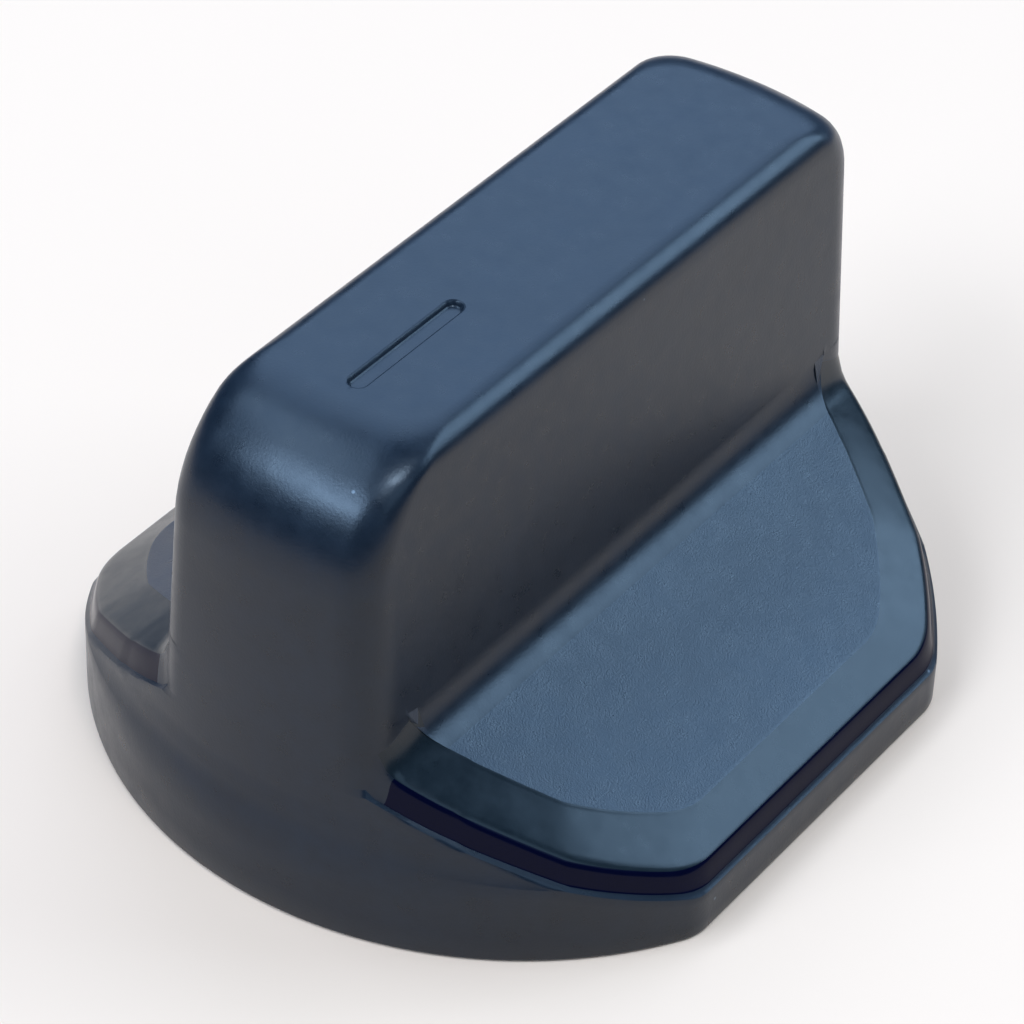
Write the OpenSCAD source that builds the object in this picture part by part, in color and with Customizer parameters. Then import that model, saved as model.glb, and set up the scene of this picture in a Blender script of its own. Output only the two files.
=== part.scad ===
// Cooker control knob: a tall bar grip moulded in one with a round skirt that has two flats.
// Z is the turning axis, the skirt's lower rim stands on z = 0 and the marked end points to -Y.

/* [Skirt] */
// Width of the skirt across its round ends
skirt_d = 48; // [46:0.5:52]
// Width of the skirt across its two flats
flats_w = 42; // [40.5:0.1:42.8]
// Radius of the upright corners between the round ends and the flats
skirt_corner = 3; // [1.5:0.1:4]
// Height of the upright wall of the skirt
skirt_wall_h = 5.2; // [4.5:0.1:5.6]
// Thickness of the moulded walls
wall = 2.2; // [1.6:0.1:2.6]

/* [Grip] */
// Height of the knob
knob_h = 29; // [27:0.1:32]
// Thickness of the grip where it leaves the skirt
grip_w = 15.4; // [15:0.1:16.4]
// How much thinner the grip is at its top
grip_taper = 2.8; // [2:0.1:3.4]
// Distance of the marked end's wall from the turning axis
front_r = 23.5; // [23.2:0.1:23.7]
// Distance of the plain end's wall from the turning axis
back_r = 23.6; // [23.2:0.1:23.7]
// How far the marked end leans in at the top
front_lean = 0.6; // [0:0.1:1]
// How far the plain end leans in at the top
back_lean = 0.4; // [0:0.1:1]
// Radius of the upright corners of the grip
grip_corner = 2.4; // [1.5:0.1:3]
// Radius over the top of the marked end
front_round = 6.9; // [5:0.1:8]
// Radius over the top of the plain end
back_round = 3.8; // [2.5:0.1:4.5]
// Radius along the top's long edges
edge_round = 1.5; // [0.8:0.1:2.4]
// Radius of the hollow blend from the end walls out to the skirt
blend_r = 6; // [4.5:0.1:7]

/* [Side lands] */
// Height at which the rim planes meet on the turning axis
rim_z = 13.1; // [12.9:0.1:13.4]
// Fall of the rim planes from the grip to the flats, in degrees
rim_slope = 25.7; // [25.4:0.1:26]
// Height at which the planes of the raised lands meet on the turning axis
land_z = 16; // [15.6:0.1:16.3]
// Fall of the raised lands from the grip to the flats, in degrees
land_slope = 28.8; // [28.4:0.1:29.2]
// Distance of the rim line from the turning axis
rim_r = 23; // [22.7:0.1:23.1]
// Width of the polished bevel between the rim line and the land
bevel_w = 2; // [1.6:0.1:2.4]
// Distance between the rim line and the outside of the flats
flat_lip = 0.6; // [0.5:0.1:0.9]
// Radius of the upright corners of the raised lands
land_corner = 5.3; // [4:0.1:6]
// Radius of the hollow fillet between the grip and the land
land_fillet = 3; // [2:0.1:3.4]

/* [Pointer mark] */
// Length of the pointer mark
mark_l = 9; // [5:0.5:11]
// Width of the pointer mark
mark_w = 1; // [0.6:0.1:1.6]
// Depth of the pointer mark
mark_depth = 0.3; // [0.2:0.05:0.8]
// Distance from the turning axis to the outer end of the pointer mark
mark_end_r = 15; // [12:0.5:15.5]

/* [Spindle socket] */
// Diameter of the spindle that the socket takes
spindle_d = 8; // [6:0.5:8]
// Size of the spindle over its flat
spindle_flat = 6.5; // [4.5:0.1:6.8]
// Clearance between the socket and the spindle
socket_gap = 0.05; // [0.02:0.01:0.15]
// Depth of the socket from the hub's end
socket_depth = 15; // [12:0.5:18]
// Outside diameter of the hub
hub_d = 13; // [12.5:0.1:14]
// Height of the hub's end above the skirt's lower rim
hub_recess = 1; // [0.5:0.1:2]
// Width of the slots that part the hub into fingers
slot_w = 1.4; // [1:0.1:2]
// Length of the slots
slot_l = 6.5; // [5:0.1:7]

/* [Spring ring] */
// Thickness of the spring steel band
ring_t = 0.7; // [0.5:0.05:0.9]
// Width of the spring steel band
ring_w = 3.6; // [2.5:0.1:4]
// Height of the band's lower edge above the hub's end
ring_z = 1.2; // [0.8:0.1:1.5]
// Opening between the band's ends, in degrees
ring_gap_deg = 50; // [35:5:80]
// Clearance between the band and its seat
ring_clearance = 0.05; // [0.02:0.01:0.1]

/* [Ribs] */
// Thickness of the stiffening ribs
rib_t = 1.4; // [1:0.1:1.8]
// Height of the ribs' lower edge above the skirt's lower rim
rib_z = 1.6; // [1:0.1:2.5]

/* [Hidden] */
$fn = 96;

// Overrun of the cuts past the faces that they leave
over = 1;
// Thickness of the plates that a hull joins
film = 0.01;
// How far the turned end walls stay inside the ends of the grip
tuck = 0.06;
skirt_r = skirt_d / 2;
flat_x = flats_w / 2;
rim_fall = tan(rim_slope);
land_fall = tan(land_slope);
land_r = rim_r - bevel_w;
rim_x = flat_x - flat_lip;
grip_half = grip_w / 2;
lean_h = knob_h - skirt_wall_h;
side_lean = grip_taper / 2 / lean_h;
// Length of the normals of the land plane and of the grip's leaning side
land_normal = sqrt(1 + land_fall * land_fall);
side_normal = sqrt(1 + side_lean * side_lean);
// Centre of the fillet's arc, one radius from the leaning side and from the land
side_reach = grip_half + side_lean * skirt_wall_h + land_fillet * side_normal;
fillet_x = (side_reach - side_lean * (land_z + land_fillet * land_normal))
    / (1 - side_lean * land_fall);
fillet_z = land_z + land_fillet * land_normal - land_fall * fillet_x;
// Angles of the arcs over the grip's top at which its outline is taken
round_steps = [0, 15, 30, 42, 54, 64, 72, 79, 85, 90];
hub_r = hub_d / 2;
socket_r = spindle_d / 2 + socket_gap;
socket_flat_y = spindle_flat - spindle_d / 2 + socket_gap;
ring_seat_r = hub_r - ring_t - ring_clearance;
ring_z0 = hub_recess + ring_z;
ring_room = ring_t + ring_clearance;
hollow_half = grip_half - wall * side_normal;
hollow_top = knob_h - wall;
mark_r = mark_w / 2;

// Height of the sloping rim plane at a distance from the turning axis
function rim_height(x) = rim_z - rim_fall * x;
// Height of the sloping land plane at a distance from the turning axis
function land_height(x) = land_z - land_fall * x;
// Share of the way up from the skirt's wall to the top
function rise_share(z) = (z - skirt_wall_h) / lean_h;
// Half thickness of the grip at a height, with the rounding of its long edges
function grip_half_at(z) =
    let (into = max(0, z - knob_h + edge_round))
    grip_half - side_lean * (z - skirt_wall_h) - edge_round
        + sqrt(max(0, pow(edge_round, 2) - into * into));
// Distance of an end wall from the axis at a height, with the rounding over its top
function end_r_at(z, end_r, lean, round_r) =
    let (into = max(0, z - knob_h + round_r))
    end_r - lean * rise_share(z) - round_r + sqrt(max(0, pow(round_r, 2) - into * into));

// Distance along the flats from their middle to the centre of a rounded corner
function corner_y(r, half, corner) = sqrt(pow(r - corner, 2) - pow(half - corner, 2));

// Round outline cut by two flats, with rounded corners that touch both
module flatted_outline(r, half, corner) {
    cx = half - corner;
    cy = corner_y(r, half, corner);
    tip = atan2(cy, cx);
    touch = [r * cos(tip), r * sin(tip)];
    reach = (r + over - cy) / (touch[1] - cy);
    far = [half + reach * (touch[0] - half), r + over];
    intersection() {
        circle(r = r);
        polygon([[half, -cy], [half, cy], far, [-far[0], far[1]],
                 [-half, cy], [-half, -cy], -far, [far[0], -far[1]]]);
    }
    for (sx = [-1, 1], sy = [-1, 1])
        translate([sx * cx, sy * cy]) circle(r = corner);
}

// Extrudes an outline drawn in X and Z along the grip
module along_grip(length) {
    rotate([90, 0, 0]) linear_extrude(height = length, center = true) children();
}

// One half of the turned outside, with the hollow blend up to an end wall
module turned_half(end_r, lean, start_deg) {
    blend_z = skirt_wall_h + sqrt(pow(blend_r, 2) - pow(blend_r - (skirt_r - end_r), 2));
    top_r = end_r - lean * rise_share(rim_z);
    rotate([0, 0, start_deg]) rotate_extrude(angle = 180) difference() {
        polygon([[0, 0], [skirt_r, 0], [skirt_r, blend_z], [end_r, blend_z],
                 [top_r, rim_z], [0, rim_z]]);
        translate([end_r + blend_r, blend_z]) circle(r = blend_r);
    }
}

// Skirt under the two sloping rim planes
module skirt_block() {
    intersection() {
        union() {
            turned_half(front_r - tuck, front_lean, 180);
            turned_half(back_r - tuck, back_lean, 0);
        }
        linear_extrude(height = rim_z) flatted_outline(skirt_r, flat_x, skirt_corner);
        along_grip(skirt_d + over) polygon([
            [-skirt_r, 0], [skirt_r, 0], [skirt_r, rim_height(skirt_r)],
            [0, rim_z], [-skirt_r, rim_height(skirt_r)]]);
    }
}

// Thin sloping plate with the flatted outline, on the +X side of the grip's middle
module land_plate(sink, inset) {
    start = grip_half - grip_corner;
    low = land_height(start) - sink * (land_height(start) - rim_height(start));
    end_low = land_height(rim_x) - sink * (land_height(rim_x) - rim_height(rim_x));
    intersection() {
        linear_extrude(height = knob_h)
            flatted_outline(rim_r - inset, rim_x - inset, land_corner);
        along_grip(skirt_d) polygon([
            [start, low - film], [rim_x, end_low - film], [rim_x, end_low], [start, low]]);
    }
}

// Raised land with its rounded bevel, on the +X side
module raised_land() {
    bevel_shares = [[1.3, 0], [0.62, 0.06], [0.28, 0.4], [0, 1]];
    hull() for (share = bevel_shares) land_plate(share[0], bevel_w * share[1]);
}

// Hollow fillet between the grip and the land, on the +X side
module land_fillet_strip() {
    wall_touch = [fillet_x - land_fillet / side_normal,
                  fillet_z - land_fillet * side_lean / side_normal];
    land_touch = [fillet_x - land_fillet * land_fall / land_normal,
                  fillet_z - land_fillet / land_normal];
    intersection() {
        along_grip(skirt_d) difference() {
            polygon([[0, wall_touch[1]], wall_touch, land_touch, [0, land_touch[1]]]);
            translate([fillet_x, fillet_z]) circle(r = land_fillet + film);
        }
        cylinder(r = land_r, h = knob_h);
    }
}

// Rounded end of the grip's plan outline, on the +Y side
module grip_end(r, half) {
    intersection() {
        flatted_outline(r, half, grip_corner);
        translate([-half, corner_y(r, half, grip_corner)]) square([2 * half, r]);
    }
}

// Plan outline of both ends of the grip at a height
module grip_ends(z) {
    grip_end(end_r_at(z, back_r, back_lean, back_round), grip_half_at(z));
    mirror([0, 1]) grip_end(end_r_at(z, front_r, front_lean, front_round), grip_half_at(z));
}

// Bar grip, lofted through its plan outlines
module grip_block() {
    start = knob_h - front_round;
    heights = concat([skirt_wall_h], [for (a = round_steps) start + front_round * sin(a) - film]);
    hull() for (z = heights)
        translate([0, 0, z]) linear_extrude(height = film) grip_ends(z);
}

// Slab along the grip up to the roof of its room, its sides leaning like the grip's
module leaning_slab(half) {
    top = half - side_lean * (hollow_top - skirt_wall_h);
    along_grip(skirt_d) polygon([
        [-half, -over], [half, -over], [half, skirt_wall_h],
        [top, hollow_top], [-top, hollow_top], [-half, skirt_wall_h]]);
}

// Room inside the skirt and the grip, open below
module hollow() {
    roof = land_z - wall * land_normal;
    intersection() {
        linear_extrude(height = knob_h)
            flatted_outline(skirt_r - wall, flat_x - wall, skirt_corner);
        along_grip(skirt_d) polygon([
            [-flat_x, -over], [flat_x, -over], [flat_x, roof - land_fall * flat_x],
            [0, roof], [-flat_x, roof - land_fall * flat_x]]);
        translate([0, 0, -over]) cylinder(r = land_r - wall / 2, h = knob_h);
    }
    intersection() {
        leaning_slab(hollow_half);
        union() {
            translate([0, 0, -over])
                cylinder(r = front_r - wall - front_lean, h = knob_h - front_round + over);
            cylinder(r = front_r - wall - front_round, h = knob_h);
        }
    }
    translate([0, 0, -over]) linear_extrude(height = rib_z + over)
        flatted_outline(skirt_r - wall, flat_x - wall, skirt_corner);
}

// Hub and ribs that stand in the hollow
module hub_and_ribs() {
    intersection() {
        translate([0, 0, hub_recess]) cylinder(r = hub_r, h = knob_h);
        leaning_slab(hollow_half + wall / 2);
    }
    difference() {
        union() {
            translate([-rib_t / 2, wall / 2 - front_r, rib_z])
                cube([rib_t, 2 * front_r - wall, hollow_top - front_round - rib_z]);
            intersection() {
                translate([-flat_x + wall / 2, -rib_t / 2, rib_z])
                    cube([flats_w - wall, rib_t, knob_h]);
                along_grip(skirt_d) polygon([
                    [-flat_x, 0], [flat_x, 0], [flat_x, rim_height(flat_x)],
                    [0, rim_height(0)], [-flat_x, rim_height(flat_x)]]);
            }
        }
        cylinder(r = hub_r + ring_room + over, h = hub_recess + slot_l);
    }
}

// Socket for the flatted spindle
module spindle_socket() {
    intersection() {
        translate([0, 0, hub_recess - over]) cylinder(r = socket_r, h = socket_depth + over);
        translate([-skirt_r, -socket_flat_y, 0]) cube([skirt_d, skirt_d, knob_h]);
    }
}

// Seat of the spring ring and the slots that part the hub into fingers
module finger_cuts() {
    translate([0, 0, ring_z0 - ring_clearance]) difference() {
        cylinder(r = hub_r + over, h = ring_w + 2 * ring_clearance);
        translate([0, 0, -over]) cylinder(r = ring_seat_r, h = ring_w + 2 * over);
    }
    translate([-hub_r - over, -slot_w / 2, hub_recess - over])
        cube([hub_d + 2 * over, slot_w, slot_l + over]);
}

// Sunk pointer mark near the marked end of the top
module pointer_mark() {
    translate([0, -mark_end_r + mark_r, knob_h - mark_depth]) linear_extrude(height = over) {
        circle(r = mark_r);
        translate([0, mark_l - mark_w]) circle(r = mark_r);
        translate([-mark_r, 0]) square([mark_w, mark_l - mark_w]);
    }
}

module knob_body() {
    color([0.2, 0.24, 0.29]) difference() {
        union() {
            difference() {
                union() {
                    skirt_block();
                    grip_block();
                    for (side = [0, 1]) mirror([side, 0, 0]) {
                        raised_land();
                        land_fillet_strip();
                    }
                }
                hollow();
            }
            hub_and_ribs();
        }
        spindle_socket();
        finger_cuts();
        pointer_mark();
    }
}

module spring_ring() {
    color([0.62, 0.63, 0.65]) translate([0, 0, ring_z0])
        rotate([0, 0, 90 + ring_gap_deg / 2])
            rotate_extrude(angle = 360 - ring_gap_deg)
                translate([ring_seat_r + ring_clearance, 0]) square([ring_t, ring_w]);
}

knob_body();
spring_ring();
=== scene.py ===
"""Looks of a cooker control knob: a matt moulding with polished borders, and its spring ring.

The knob stands on its lower rim at the origin, +Z is its turning axis and the marked end points
to -Y. Sizes are in millimetres here and turn to metres where a mesh is made.
"""

import logging
import math
from dataclasses import dataclass, field
from enum import Enum
from typing import Callable, Sequence

import bmesh
import bpy
import numpy as np
from mathutils import Matrix, Vector

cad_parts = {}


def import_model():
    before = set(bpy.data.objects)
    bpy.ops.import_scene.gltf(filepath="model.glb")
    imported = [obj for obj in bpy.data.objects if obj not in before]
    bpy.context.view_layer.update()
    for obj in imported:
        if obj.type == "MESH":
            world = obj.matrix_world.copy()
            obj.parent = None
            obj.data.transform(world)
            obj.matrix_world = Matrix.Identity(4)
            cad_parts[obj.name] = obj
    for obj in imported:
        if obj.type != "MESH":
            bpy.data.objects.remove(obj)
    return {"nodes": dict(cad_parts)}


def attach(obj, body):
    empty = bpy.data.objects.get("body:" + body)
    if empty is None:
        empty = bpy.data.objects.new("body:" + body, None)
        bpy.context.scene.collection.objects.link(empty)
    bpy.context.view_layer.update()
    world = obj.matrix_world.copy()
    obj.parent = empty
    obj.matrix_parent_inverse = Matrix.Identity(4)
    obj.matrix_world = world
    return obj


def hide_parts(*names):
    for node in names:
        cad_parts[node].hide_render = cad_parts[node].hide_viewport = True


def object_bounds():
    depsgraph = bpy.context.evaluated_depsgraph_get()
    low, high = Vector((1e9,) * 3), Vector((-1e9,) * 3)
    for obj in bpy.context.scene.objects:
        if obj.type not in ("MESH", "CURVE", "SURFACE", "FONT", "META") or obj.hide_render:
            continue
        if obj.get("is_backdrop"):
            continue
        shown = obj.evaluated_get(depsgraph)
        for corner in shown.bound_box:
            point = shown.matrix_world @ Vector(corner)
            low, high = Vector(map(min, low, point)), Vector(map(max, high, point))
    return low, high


log = logging.getLogger("stove_knob")

MM = 0.001
PHOTO_PX = 1024
SENSOR_MM = 36.0

Point = np.ndarray
Socket = bpy.types.NodeSocket
Tree = bpy.types.NodeTree


def srgb(hex_colour: str) -> tuple[float, float, float, float]:
    """Turns an sRGB hex value into a linear colour.

    Args:
        hex_colour: six hex digits, such as "2a3340".

    Returns:
        Red, green, blue and alpha.
    """
    parts = [int(hex_colour[i:i + 2], 16) / 255 for i in (0, 2, 4)]
    linear = [c / 12.92 if c <= 0.04045 else ((c + 0.055) / 1.055) ** 2.4 for c in parts]
    return (linear[0], linear[1], linear[2], 1.0)


def add_node(tree: Tree, kind: str, settings: dict | None = None,
             inputs: dict | None = None) -> bpy.types.Node:
    """Adds one node with its settings, values and links.

    Args:
        tree: the node tree that takes it.
        kind: the node's type name.
        settings: attributes of the node.
        inputs: values or output sockets by input name or number.

    Returns:
        The new node.
    """
    node = tree.nodes.new(kind)
    for name, value in (settings or {}).items():
        setattr(node, name, value)
    for name, value in (inputs or {}).items():
        if isinstance(value, Socket):
            tree.links.new(value, node.inputs[name])
        else:
            node.inputs[name].default_value = value
    return node


def add_noise(tree: Tree, place: Socket, width: float, detail: float,
              roughness: float = 0.5) -> Socket:
    """Adds a noise texture with clouds of a width in metres and returns its value."""
    inputs = {"Vector": place, "Scale": 1 / width, "Detail": detail, "Roughness": roughness}
    return add_node(tree, "ShaderNodeTexNoise", None, inputs).outputs["Fac"]


def add_range(tree: Tree, value: Socket, source: tuple[float, float],
              target: tuple[float, float], kind: str = "LINEAR") -> Socket:
    """Maps a value from one pair of bounds to another and returns the result."""
    inputs = {"Value": value, "From Min": source[0], "From Max": source[1],
              "To Min": target[0], "To Max": target[1]}
    return add_node(tree, "ShaderNodeMapRange", {"interpolation_type": kind}, inputs).outputs[0]


def add_math(tree: Tree, operation: str, first: Socket, second: float | Socket) -> Socket:
    """Adds one step of arithmetic and returns its result."""
    return add_node(tree, "ShaderNodeMath", {"operation": operation},
                    {0: first, 1: second}).outputs[0]


def mix_colours(tree: Tree, share: Socket, first: object, second: object) -> Socket:
    """Mixes two colours, each a value or a socket, and returns the result."""
    return add_node(tree, "ShaderNodeMix", {"data_type": "RGBA"},
                    {0: share, 6: first, 7: second}).outputs[2]


def new_material(name: str) -> tuple[bpy.types.Material, Tree]:
    """Makes a material with an empty node tree."""
    mat = bpy.data.materials.new(name)
    mat.use_nodes = True
    mat.node_tree.nodes.clear()
    return mat, mat.node_tree


def new_object(name: str, bm: bmesh.types.BMesh) -> bpy.types.Object:
    """Turns a mesh in the making into an object of the scene and frees it."""
    mesh = bpy.data.meshes.new(name)
    bm.to_mesh(mesh)
    bm.free()
    obj = bpy.data.objects.new(name, mesh)
    bpy.context.scene.collection.objects.link(obj)
    return obj


def ease(share: float) -> float:
    """Turns a share into one that starts and ends softly, kept from 0 to 1."""
    share = min(1.0, max(0.0, share))
    return share * share * (3 - 2 * share)


class Gloss(Enum):
    """How the mould was finished where the face was shaped."""

    MATT = "matt"
    GRAINED = "grained"
    SATIN = "satin"
    # Polished foot, whose near-black navy colour is a painted dark reflection.
    POLISHED_PAINTED_REFLECTION = "polished"


@dataclass(frozen=True)
class MouldedPlastic:
    """Blue-black glass-filled PBT, injection moulded.

    The matt texture spreads each lamp wide, the grained lands sparkle finely and the satin band
    mirrors softly. The polished foot's darker navy pigment and weak shine are a painted dark
    reflection.

    Attributes:
        gloss: finish of the mould face.
        pigment: sRGB hex of the plain colour.
        haze: sRGB hex of the paler handled film on it.
        roughness: mean roughness.
        shine: specular level, 0.5 being the full mirror share of the plastic.
        grain_depth_mm: height of the grain.
        grain_mm: width of one grain of the mould texture, a little coarse so that it shows.
        film_range: strength of the clouds at which the film starts and is full.
        dust_radius: radii at which a speck starts to fade and ends, as shares of the gap.
        dust_limit: share of the places that stay clean.
    """

    gloss: Gloss
    pigment: str
    haze: str
    roughness: float
    shine: float
    grain_depth_mm: float
    grain_mm: float = 0.16
    ior: float = 1.5
    cloud_mm: float = 9.0
    mottle_mm: float = 1.3
    film_range: tuple[float, float] = (0.12, 0.42)
    film_share: float = 0.55
    mottle_range: tuple[float, float] = (0.3, 0.7)
    rough_range: tuple[float, float] = (0.04, 0.05)
    swell_mm: float = 0.06
    dust_colour: str = "9aa4ad"
    dust_gap_mm: float = 2.1
    dust_radius: tuple[float, float] = (0.03, 0.06)
    dust_share: float = 0.35
    dust_limit: float = 0.82

    def material(self) -> bpy.types.Material:
        """Builds the node material."""
        mat, tree = new_material(f"{self.gloss.value}_moulded_plastic")
        place = add_node(tree, "ShaderNodeTexCoord").outputs["Object"]
        cloud = add_noise(tree, place, self.cloud_mm * MM, 3.0, 0.6)
        mottle = add_noise(tree, place, self.mottle_mm * MM, 4.0, 0.65)
        grain = add_noise(tree, place, self.grain_mm * MM, 2.0)
        film = add_range(tree, add_math(tree, "MULTIPLY", cloud, mottle), self.film_range,
                         (0.0, self.film_share))
        colour = mix_colours(tree, film, srgb(self.pigment), srgb(self.haze))
        if self.gloss in (Gloss.MATT, Gloss.GRAINED):
            colour = self._dust(tree, place, colour)
        rough = add_range(tree, mottle, self.mottle_range,
                          (self.roughness - self.rough_range[0],
                           self.roughness + self.rough_range[1]))
        bump = add_node(tree, "ShaderNodeBump", None,
                        {"Height": grain, "Distance": self.grain_depth_mm * MM})
        swell = add_node(tree, "ShaderNodeBump", None,
                         {"Height": cloud, "Distance": self.swell_mm * MM,
                          "Normal": bump.outputs[0]})
        shader = add_node(tree, "ShaderNodeBsdfPrincipled", None,
                          {"Base Color": colour, "Roughness": rough, "IOR": self.ior,
                           "Specular IOR Level": self.shine, "Normal": swell.outputs[0]})
        add_node(tree, "ShaderNodeOutputMaterial", None, {"Surface": shader.outputs[0]})
        return mat

    def _dust(self, tree: Tree, place: Socket, colour: Socket) -> Socket:
        """Adds pale specks of dust to a colour, placed by the object's coordinates."""
        cells = add_node(tree, "ShaderNodeTexVoronoi", {"feature": "F1"},
                         {"Vector": place, "Scale": 1 / (self.dust_gap_mm * MM),
                          "Randomness": 1.0})
        speck = add_range(tree, cells.outputs["Distance"], self.dust_radius,
                          (self.dust_share, 0.0))
        chance = add_node(tree, "ShaderNodeSeparateColor", None, {"Color": cells.outputs["Color"]})
        chosen = add_math(tree, "GREATER_THAN", chance.outputs[0], self.dust_limit)
        return mix_colours(tree, add_math(tree, "MULTIPLY", speck, chosen), colour,
                           srgb(self.dust_colour))


@dataclass(frozen=True)
class SpringSteel:
    """Cold-rolled spring steel strip, bright with fine rolling lines along the band.

    Attributes:
        colour: sRGB hex of the metal.
        line_mm: spacing of the rolling lines.
        along_scale: scale of the pattern along the band.
    """

    colour: str = "b4b6b8"
    line_colour: str = "8c8d8e"
    roughness: float = 0.3
    rough_range: tuple[float, float] = (0.08, 0.1)
    line_mm: float = 0.12
    line_depth_mm: float = 0.004
    along_scale: float = 60.0

    def material(self) -> bpy.types.Material:
        """Builds the node material."""
        mat, tree = new_material("rolled_spring_steel")
        place = add_node(tree, "ShaderNodeTexCoord").outputs["Object"]
        scale = (self.along_scale, self.along_scale, 1 / (self.line_mm * MM))
        drawn = add_node(tree, "ShaderNodeMapping", None, {"Vector": place, "Scale": scale})
        lines = add_noise(tree, drawn.outputs[0], 1.0, 3.0)
        rough = add_range(tree, lines, (0.0, 1.0),
                          (self.roughness - self.rough_range[0],
                           self.roughness + self.rough_range[1]))
        tint = mix_colours(tree, lines, srgb(self.colour), srgb(self.line_colour))
        bump = add_node(tree, "ShaderNodeBump", None,
                        {"Height": lines, "Distance": self.line_depth_mm * MM})
        shader = add_node(tree, "ShaderNodeBsdfPrincipled", None,
                          {"Base Color": tint, "Metallic": 1.0, "Roughness": rough,
                           "Normal": bump.outputs[0]})
        add_node(tree, "ShaderNodeOutputMaterial", None, {"Surface": shader.outputs[0]})
        return mat


@dataclass(frozen=True)
class End:
    """One end of the grip and the half of the skirt below it.

    Attributes:
        sign: -1 for the marked end, +1 for the plain end.
        radius: distance of the end wall from the axis at the foot.
        lean: how far the wall leans in at the top.
        rounding: radius over the top.
    """

    sign: int
    radius: float
    lean: float
    rounding: float


@dataclass(frozen=True)
class KnobForm:
    """Driving sizes of the moulding in millimetres, and the curves worked out from them."""

    skirt_r: float = 24.0
    flat_x: float = 21.0
    skirt_corner: float = 3.0
    wall_h: float = 5.2
    height: float = 29.0
    grip_half: float = 7.7
    taper: float = 1.4
    grip_corner: float = 2.4
    edge_round: float = 1.5
    blend_r: float = 6.0
    rim_z: float = 13.1
    rim_fall: float = math.tan(math.radians(25.7))
    land_z: float = 16.0
    land_fall: float = math.tan(math.radians(28.8))
    lip: float = 0.6
    bevel_w: float = 2.0
    land_corner: float = 5.3
    fillet: float = 3.0
    wall: float = 2.2
    front: End = End(-1, 23.5, 0.6, 6.9)
    back: End = End(1, 23.6, 0.4, 3.8)

    @property
    def side_lean(self) -> float:
        """Inward lean of the grip's sides for each millimetre of height."""
        return self.taper / (self.height - self.wall_h)

    @property
    def lean_slant(self) -> float:
        """Length along the grip's side for each millimetre of height."""
        return math.sqrt(1 + self.side_lean * self.side_lean)

    @property
    def fall_slant(self) -> float:
        """Length along the land for each millimetre outwards."""
        return math.sqrt(1 + self.land_fall * self.land_fall)

    def rim_height(self, x: float) -> float:
        """Height of the rim plane at a distance from the axis."""
        return self.rim_z - self.rim_fall * abs(x)

    def land_height(self, x: float) -> float:
        """Height of the land plane at a distance from the axis."""
        return self.land_z - self.land_fall * abs(x)

    def half_at(self, z: float) -> float:
        """Half thickness of the grip at a height, rounded along its top edges."""
        into = max(0.0, z - self.height + self.edge_round)
        side = self.grip_half - self.side_lean * (z - self.wall_h)
        return side - self.edge_round + math.sqrt(max(0.0, self.edge_round ** 2 - into ** 2))

    def end_at(self, end: End, z: float) -> float:
        """Distance of an end wall from the axis at a height, rounded over its top."""
        into = max(0.0, z - self.height + end.rounding)
        lean = end.lean * (z - self.wall_h) / (self.height - self.wall_h)
        return end.radius - lean - end.rounding + math.sqrt(max(0.0, end.rounding ** 2 - into ** 2))

    def turned_r(self, end: End, z: float) -> float:
        """Radius of the turned outside at a height: wall, hollow blend, end wall."""
        if z <= self.wall_h:
            return self.skirt_r
        reach = self.blend_r - (self.skirt_r - end.radius)
        blend_z = self.wall_h + math.sqrt(self.blend_r ** 2 - reach ** 2)
        if z < blend_z:
            return end.radius + self.blend_r - math.sqrt(self.blend_r ** 2 - (blend_z - z) ** 2)
        return end.radius - end.lean * (z - self.wall_h) / (self.height - self.wall_h)

    def corner_centre(self, end: End, z: float) -> tuple[float, float]:
        """Centre of the grip's upright corner at a height, on the +X side."""
        x = self.half_at(z) - self.grip_corner
        return x, math.sqrt((self.end_at(end, z) - self.grip_corner) ** 2 - x * x)

    def off_grip(self, end: End, x: float, y: float, z: float) -> float:
        """Plan distance of a point from the grip's outline at a height, below zero inside.

        Args:
            end: the end of the grip that the point is near.
            x: distance from the middle plane.
            y: distance from the axis along the grip, without sign.
            z: height.

        Returns:
            The distance.
        """
        cx, cy = self.corner_centre(end, z)
        if y <= cy:
            return x - self.half_at(z)
        if x * cy <= y * cx:
            return math.hypot(x, y) - self.end_at(end, z)
        return math.hypot(x - cx, y - cy) - self.grip_corner

    def grip_path(self, end: End, z: float, along: float) -> tuple[float, float]:
        """Point on the grip's outline at a distance along it from the middle of the end.

        Args:
            end: the end of the grip.
            z: height of the outline.
            along: distance along the outline.

        Returns:
            x and y, y without sign.
        """
        cx, cy = self.corner_centre(end, z)
        r = self.end_at(end, z)
        tip = math.atan2(cx, cy)
        if along <= r * tip:
            return r * math.sin(along / r), r * math.cos(along / r)
        rest = along - r * tip
        turn = math.pi / 2 - tip
        if rest <= self.grip_corner * turn:
            angle = tip + rest / self.grip_corner
            return cx + self.grip_corner * math.sin(angle), cy + self.grip_corner * math.cos(angle)
        return cx + self.grip_corner, cy - (rest - self.grip_corner * turn)

    def path_length(self, end: End, x: float, y: float, z: float) -> float:
        """Distance along the grip's outline from the middle of the end to a point on it."""
        cx, cy = self.corner_centre(end, z)
        r = self.end_at(end, z)
        tip = math.atan2(cx, cy)
        if y <= cy:
            return r * tip + self.grip_corner * (math.pi / 2 - tip) + cy - y
        if x * cy <= y * cx:
            return r * math.atan2(x, y)
        return r * tip + self.grip_corner * (math.atan2(x - cx, y - cy) - tip)


@dataclass
class SideRow:
    """One ring of the skin on one side of the knob, before it is mirrored.

    Attributes:
        points: side points from the marked end to the plain end.
        gloss: finish of the strip above this ring on the side.
    """

    points: list[Point]
    gloss: Gloss


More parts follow.
